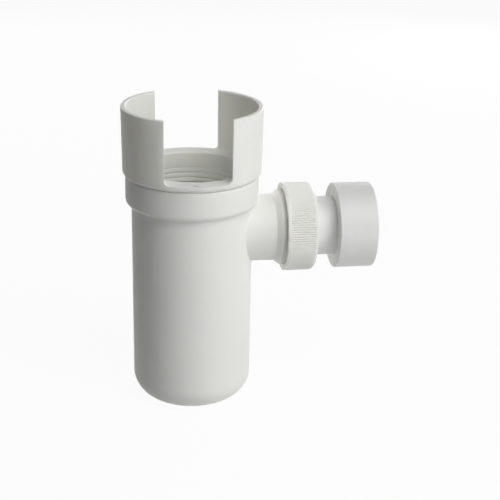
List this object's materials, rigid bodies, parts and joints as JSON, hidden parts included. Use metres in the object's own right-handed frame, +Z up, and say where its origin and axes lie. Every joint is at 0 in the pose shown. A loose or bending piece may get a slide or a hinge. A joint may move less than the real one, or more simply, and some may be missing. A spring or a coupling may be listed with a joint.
{
  "type": "tundish",
  "caption": "White plastic tundish on a bottle trap, with an open windowed cup, a side outlet, a ribbed union nut and a pipe socket.",
  "frame": {"origin": "centre of the bottle's flat base, on the bottle's axis", "axes": "+Z up along the bottle's axis, +X along the outlet, the cup's two windows face -Y and +Y"},
  "size_m": [0.1108, 0.0604, 0.1346],
  "materials": {
    "white_plastic": "satin moulded off-white",
    "grey_plastic": "satin moulded, slightly greyer white",
    "rubber": "matte white"
  },
  "bodies": {
    "trap": {"trap_body": "white_plastic"},
    "seal": {"cup_seal": "rubber"},
    "cup": {"funnel_cup": "white_plastic", "dip_tube": "white_plastic"},
    "tail": {"outlet_socket": "grey_plastic", "union_gasket": "rubber"},
    "nut": {"union_nut": "white_plastic"}
  },
  "joints": [
    {"name": "cup_lift", "type": "slide", "parent": "trap", "child": "seal", "axis": [0, 0, 1], "range_m": [0, 0.009]},
    {"name": "cup_swivel", "type": "hinge", "parent": "seal", "child": "cup", "pos_m": [0, 0, 0.0992], "axis": [0, 0, 1], "continuous": true},
    {"name": "outlet_draw", "type": "slide", "parent": "trap", "child": "tail", "axis": [1, 0, 0], "range_m": [0, 0.00693]},
    {"name": "nut_turn", "type": "hinge", "parent": "tail", "child": "nut", "pos_m": [0.045, 0, 0.0783], "axis": [1, 0, 0], "range_deg": [0, 1080]}
  ],
  "couplings": [
    {"joint": "outlet_draw", "follows": "nut_turn", "m_per_rad": 0.00036749}
  ]
}
